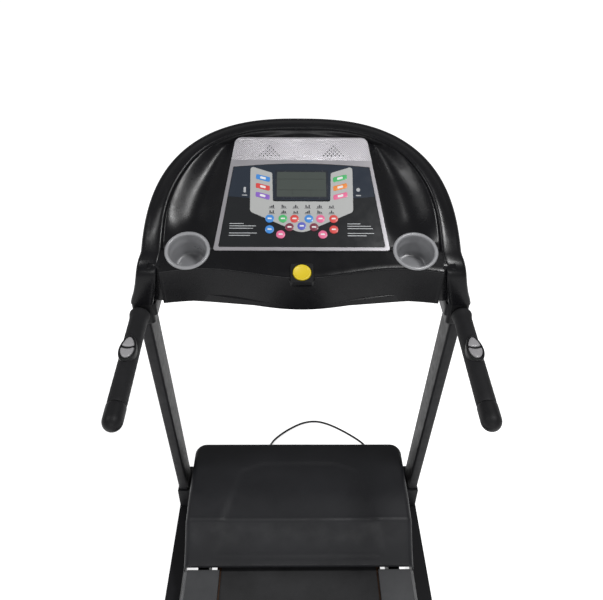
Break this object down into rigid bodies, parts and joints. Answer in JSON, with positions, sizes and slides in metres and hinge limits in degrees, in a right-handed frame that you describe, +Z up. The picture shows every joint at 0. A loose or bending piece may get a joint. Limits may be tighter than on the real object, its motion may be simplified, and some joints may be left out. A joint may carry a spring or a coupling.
{
  "type": "folding treadmill",
  "caption": "Folding home treadmill: two leaning uprights carry a dome-shaped console with cup holders and handrails; the motor deck folds up on a gas strut.",
  "frame": {"origin": "on the floor under the middle of the machine's length and width, without the mains lead", "axes": "+Z up, +Y the runner's forward direction towards the console, +X to the runner's right"},
  "size_m": [0.742, 1.8154, 1.2163],
  "materials": {
    "bare_steel": "satin",
    "belt_black": "woven grain",
    "black_foam": "fine foam",
    "black_rubber": "matte",
    "board_green": "solder mask",
    "board_phenolic": "waxed",
    "chrome_rod": "polished",
    "cup_grey": "satin silver",
    "fine_grain_black_plastic": "fine grain",
    "frame_paint": "satin powder coat",
    "gloss_overlay": "gloss printed film",
    "key_yellow": "gloss",
    "lcd_glass": "gloss",
    "lead_black": "satin pvc",
    "motor_black": "enamel",
    "rail_grey": "ribbed",
    "satin_black_plastic": "satin",
    "silver_button": "satin",
    "silver_plastic": "satin silver paint",
    "zinc_steel": "zinc plated"
  },
  "bodies": {
    "base": {"base_frame": "frame_paint", "console_bezel": "silver_plastic", "console_board": "board_green", "console_lower_shell": "satin_black_plastic", "console_speakers": "fine_grain_black_plastic", "console_upper_shell": "satin_black_plastic", "cord_coil": "lead_black", "frame_pins": "zinc_steel", "grip_caps": "fine_grain_black_plastic", "keypad_overlay": "gloss_overlay", "lcd_module": "lcd_glass", "left_cup_holder": "cup_grey", "left_grip": "black_foam", "left_handrail_tube": "bare_steel", "left_switch_pod": "fine_grain_black_plastic", "left_upright": "frame_paint", "mains_cord": "lead_black", "mains_plug": "lead_black", "pivot_bolts": "zinc_steel", "power_box": "fine_grain_black_plastic", "right_cup_holder": "cup_grey", "right_grip": "black_foam", "right_handrail_tube": "bare_steel", "right_switch_pod": "fine_grain_black_plastic", "right_upright": "frame_paint", "rubber_feet": "black_rubber", "safety_key_socket": "fine_grain_black_plastic", "strain_relief": "lead_black", "tube_end_plugs": "fine_grain_black_plastic", "upright_bolts": "zinc_steel"},
    "deck": {"deck_frame": "frame_paint", "running_deck": "board_phenolic", "deck_cushions": "black_rubber", "deck_feet": "black_rubber", "roller_shafts": "bare_steel", "running_belt": "belt_black", "drive_motor": "motor_black", "drive_belt": "black_rubber", "motor_controller": "board_green", "motor_hood": "fine_grain_black_plastic", "belly_pan": "fine_grain_black_plastic", "hood_screws": "zinc_steel", "left_side_rail": "rail_grey", "right_side_rail": "rail_grey", "left_rear_cap": "fine_grain_black_plastic", "right_rear_cap": "fine_grain_black_plastic"},
    "front_roller": {"front_roller": "bare_steel"},
    "rear_roller": {"rear_roller": "bare_steel"},
    "motor_rotor": {"motor_flywheel": "bare_steel"},
    "left_wheel": {"left_transport_wheel": "black_rubber"},
    "right_wheel": {"right_transport_wheel": "black_rubber"},
    "key": {"safety_key": "key_yellow"},
    "left_up": {"left_button_up": "silver_button"},
    "left_down": {"left_button_down": "silver_button"},
    "right_up": {"right_button_up": "silver_button"},
    "right_down": {"right_button_down": "silver_button"},
    "strut_barrel": {"strut_cylinder": "frame_paint"},
    "strut_piston": {"strut_rod": "chrome_rod"},
    "strut_collar": {"strut_latch": "zinc_steel"},
    "rocker": {"power_switch": "fine_grain_black_plastic"}
  },
  "joints": [
    {"name": "deck_fold", "type": "hinge", "parent": "base", "child": "deck", "pos_m": [0, 0.6397, 0.11], "axis": [-1, 0, 0], "range_deg": [0, 72]},
    {"name": "strut_swing", "type": "hinge", "parent": "base", "child": "strut_barrel", "pos_m": [0, 0.5997, 0.056], "axis": [-1, 0, 0], "range_deg": [0, 73.73]},
    {"name": "strut_slide", "type": "slide", "parent": "strut_barrel", "child": "strut_piston", "axis": [0, -0.9999, 0.0119], "range_m": [0, 0.0797]},
    {"name": "strut_latch_kick", "type": "slide", "parent": "strut_barrel", "child": "strut_collar", "axis": [0, 0.9999, -0.0119], "range_m": [0, 0.006], "stiffness_N_per_m": 600},
    {"name": "front_roller_spin", "type": "hinge", "parent": "deck", "child": "front_roller", "pos_m": [0, 0.3997, 0.127], "axis": [1, 0, 0], "continuous": true},
    {"name": "rear_roller_spin", "type": "hinge", "parent": "deck", "child": "rear_roller", "pos_m": [0, -0.7953, 0.127], "axis": [1, 0, 0], "continuous": true},
    {"name": "motor_spin", "type": "hinge", "parent": "deck", "child": "motor_rotor", "pos_m": [0, 0.5497, 0.152], "axis": [1, 0, 0], "continuous": true},
    {"name": "left_wheel_spin", "type": "hinge", "parent": "base", "child": "left_wheel", "pos_m": [-0.349, 0.6957, 0.026], "axis": [1, 0, 0], "continuous": true},
    {"name": "right_wheel_spin", "type": "hinge", "parent": "base", "child": "right_wheel", "pos_m": [0.349, 0.6957, 0.026], "axis": [1, 0, 0], "continuous": true},
    {"name": "key_lift", "type": "slide", "parent": "base", "child": "key", "axis": [0, -0.3746, 0.9272], "range_m": [0, 0.03]},
    {"name": "power_rock", "type": "hinge", "parent": "base", "child": "rocker", "pos_m": [-0.131, 0.6977, 0.091], "axis": [1, 0, 0], "range_deg": [-8, 8]},
    {"name": "left_up_press", "type": "slide", "parent": "base", "child": "left_up", "axis": [0, 0.0872, -0.9962], "range_m": [0, 0.0012], "stiffness_N_per_m": 800},
    {"name": "left_down_press", "type": "slide", "parent": "base", "child": "left_down", "axis": [0, 0.0872, -0.9962], "range_m": [0, 0.0012], "stiffness_N_per_m": 800},
    {"name": "right_up_press", "type": "slide", "parent": "base", "child": "right_up", "axis": [0, 0.0872, -0.9962], "range_m": [0, 0.0012], "stiffness_N_per_m": 800},
    {"name": "right_down_press", "type": "slide", "parent": "base", "child": "right_down", "axis": [0, 0.0872, -0.9962], "range_m": [0, 0.0012], "stiffness_N_per_m": 800}
  ],
  "couplings": [
    {"joint": "strut_swing", "follows": "deck_fold", "ratio": 1.0171},
    {"joint": "strut_slide", "follows": "deck_fold", "m_per_rad": 0.062622},
    {"joint": "rear_roller_spin", "follows": "front_roller_spin", "ratio": 1},
    {"joint": "motor_spin", "follows": "front_roller_spin", "ratio": 2.8571}
  ]
}
